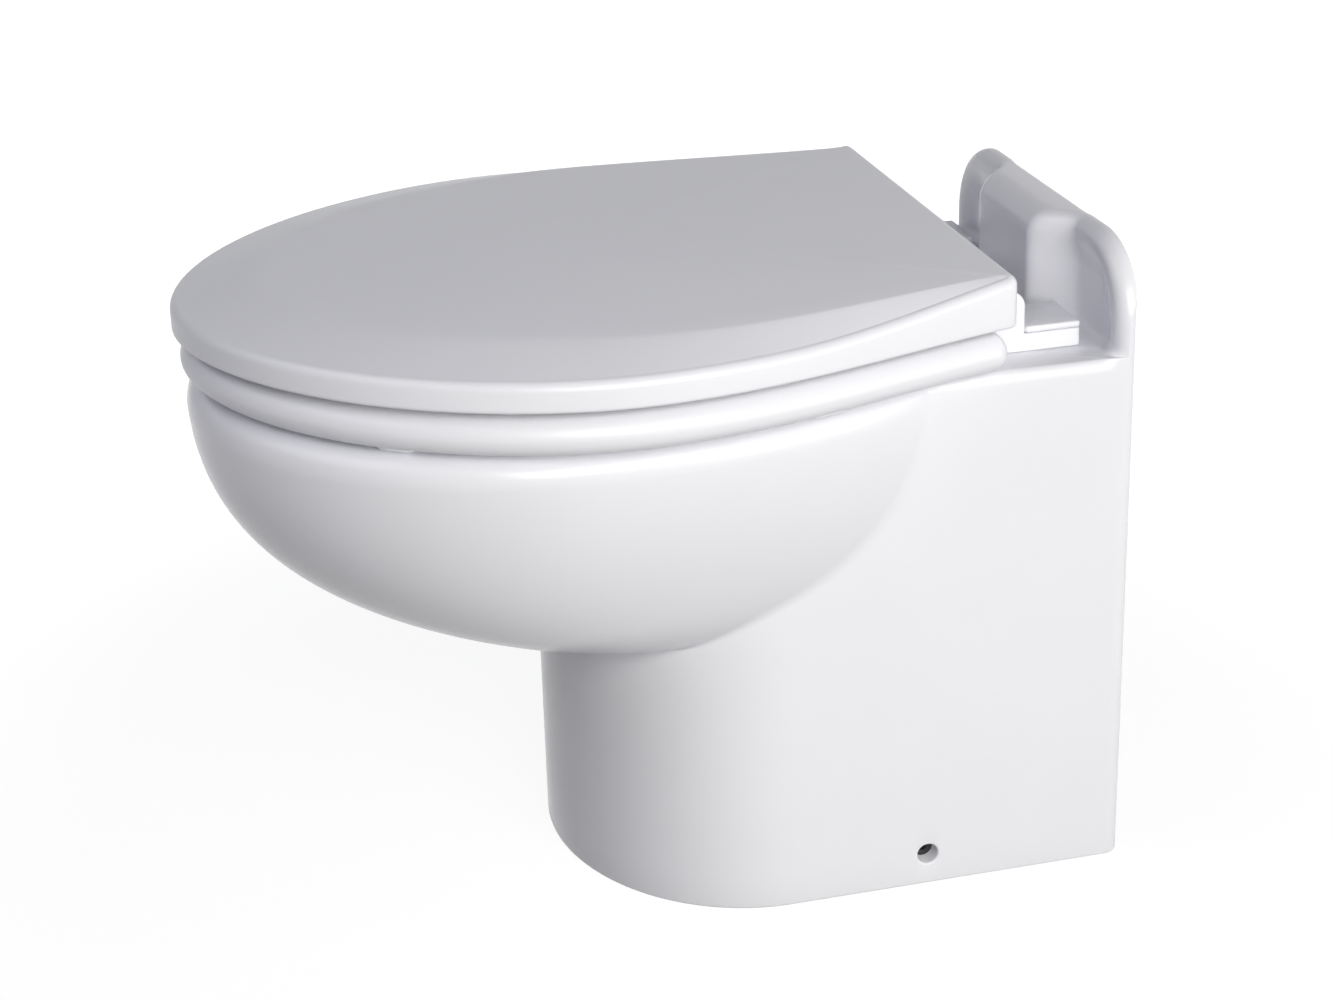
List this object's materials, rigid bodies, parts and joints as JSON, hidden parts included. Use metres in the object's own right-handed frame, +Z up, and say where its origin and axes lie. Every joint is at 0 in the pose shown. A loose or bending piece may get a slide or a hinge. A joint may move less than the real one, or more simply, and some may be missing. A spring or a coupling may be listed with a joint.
{
  "type": "electric marine toilet",
  "caption": "Compact electric marine toilet: ceramic pan with arched upstand, hinged seat and lid, floor brackets, macerator pump, non-return outlet and rinse valve in its open back.",
  "frame": {"origin": "on the floor, under the middle of the plan, 248.5 mm in front of the pan's back face", "axes": "+X to the right of a person standing in front and facing the back wall, +Y to the back wall, +Z up; the bowl's front points to -Y"},
  "size_m": [0.379, 0.497, 0.362],
  "materials": {
    "glazed_ceramic": "glossy white vitreous glaze",
    "seat_resin": "glossy white moulded thermoset",
    "white_plastic": "satin white moulding",
    "pale_rubber": "pale matte rubber",
    "black_rubber": "matte black rubber",
    "black_plastic": "black glass-filled moulding",
    "grey_plastic": "mid-grey moulding",
    "stainless": "plain stainless steel",
    "painted_steel": "light grey enamel on steel",
    "brass": "machined brass"
  },
  "bodies": {
    "pan_body": {"pan": "glazed_ceramic", "hinge_base_right": "white_plastic", "hinge_cap_right": "white_plastic", "hinge_pin_right": "stainless", "hinge_bolt_right": "stainless", "hinge_washer_right": "stainless", "hinge_nut_right": "stainless", "hinge_base_left": "white_plastic", "hinge_cap_left": "white_plastic", "hinge_pin_left": "stainless", "hinge_bolt_left": "stainless", "hinge_washer_left": "stainless", "hinge_nut_left": "stainless", "floor_bracket_right": "black_plastic", "floor_screw_right": "stainless", "floor_bracket_left": "black_plastic", "floor_screw_left": "stainless", "bowl_outlet_elbow": "black_rubber", "elbow_clamp_upper": "stainless", "elbow_clamp_lower": "stainless", "macerator_housing": "black_plastic", "pump_back_plate": "black_plastic", "shaft_seal": "black_rubber", "motor_can": "painted_steel", "motor_end_cap": "black_plastic", "motor_bolt_right": "stainless", "motor_bolt_left": "stainless", "pump_base_plate": "stainless", "motor_strap_front": "stainless", "motor_strap_rear": "stainless", "rubber_foot_front_right": "black_rubber", "rubber_foot_front_left": "black_rubber", "rubber_foot_rear_right": "black_rubber", "rubber_foot_rear_left": "black_rubber", "discharge_elbow": "black_plastic", "joker_valve": "black_rubber", "outlet_nozzle": "black_plastic", "rinse_spud": "pale_rubber", "rinse_hose": "grey_plastic", "valve_body": "black_plastic", "valve_coil": "black_plastic", "inlet_barb": "brass", "valve_bracket": "stainless", "valve_screw": "stainless"},
    "seat_body": {"seat": "seat_resin", "seat_buffer_rear_right": "white_plastic", "seat_buffer_rear_left": "white_plastic", "seat_buffer_front_right": "white_plastic", "seat_buffer_front_left": "white_plastic"},
    "lid_body": {"lid": "seat_resin", "lid_buffer_rear_right": "pale_rubber", "lid_buffer_rear_left": "pale_rubber", "lid_buffer_front_right": "pale_rubber", "lid_buffer_front_left": "pale_rubber"},
    "rotor_body": {"rotor_shaft": "stainless", "chopper_blades": "stainless", "impeller": "grey_plastic"},
    "plunger_body": {"valve_plunger": "stainless"}
  },
  "joints": [
    {"name": "lid_hinge", "type": "hinge", "parent": "pan_body", "child": "lid_body", "pos_m": [0, 0.185, 0.328], "axis": [-1, 0, 0], "range_deg": [0, 96]},
    {"name": "seat_hinge", "type": "hinge", "parent": "pan_body", "child": "seat_body", "pos_m": [0, 0.185, 0.328], "axis": [-1, 0, 0], "range_deg": [0, 92.16]},
    {"name": "rotor_spin", "type": "hinge", "parent": "pan_body", "child": "rotor_body", "pos_m": [0, 0.1085, 0.052], "axis": [0, 1, 0], "continuous": true},
    {"name": "valve_travel", "type": "slide", "parent": "pan_body", "child": "plunger_body", "axis": [0, 0, 1], "range_m": [0, 0.003], "stiffness_N_per_m": 200, "springref_m": -0.002}
  ],
  "couplings": [
    {"joint": "seat_hinge", "follows": "lid_hinge", "ratio": 0.96}
  ]
}
